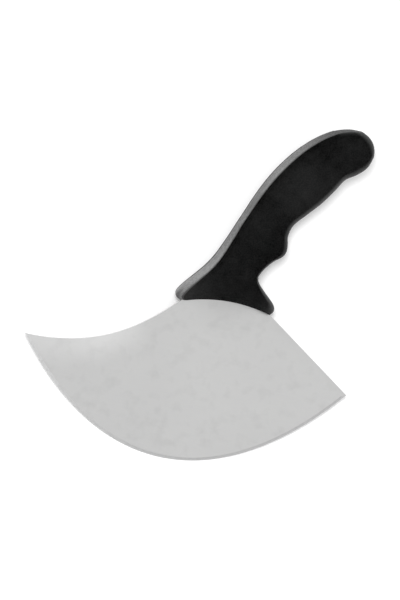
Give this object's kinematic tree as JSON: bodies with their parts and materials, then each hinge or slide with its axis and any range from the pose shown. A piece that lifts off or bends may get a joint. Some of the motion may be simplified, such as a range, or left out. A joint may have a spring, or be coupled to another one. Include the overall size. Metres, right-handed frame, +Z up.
{
  "type": "cake knife",
  "caption": "Rocker cake knife: broad crescent steel blade with a long convex edge, and a black moulded handle with an index finger groove, for rocking cuts through cake.",
  "frame": {"origin": "on the table, under the middle of the knife's box, with the knife lying at rest on its cutting edge and on the underside of the bolster", "axes": "+Z up from the table, +X along the blade's chord from the tip to the heel corner, +Y from the cutting edge towards the butt of the handle"},
  "size_m": [0.2, 0.2124, 0.0349],
  "materials": {
    "steel": "stainless sheet, fine satin grain, ground along the cutting edge",
    "core_plastic": "hard black plastic, satin",
    "grip_rubber": "soft black thermoplastic rubber, matt with a fine moulded texture"
  },
  "bodies": {
    "root": {"blade": "steel", "handle_core": "core_plastic", "soft_grip": "grip_rubber"}
  },
  "joints": []
}
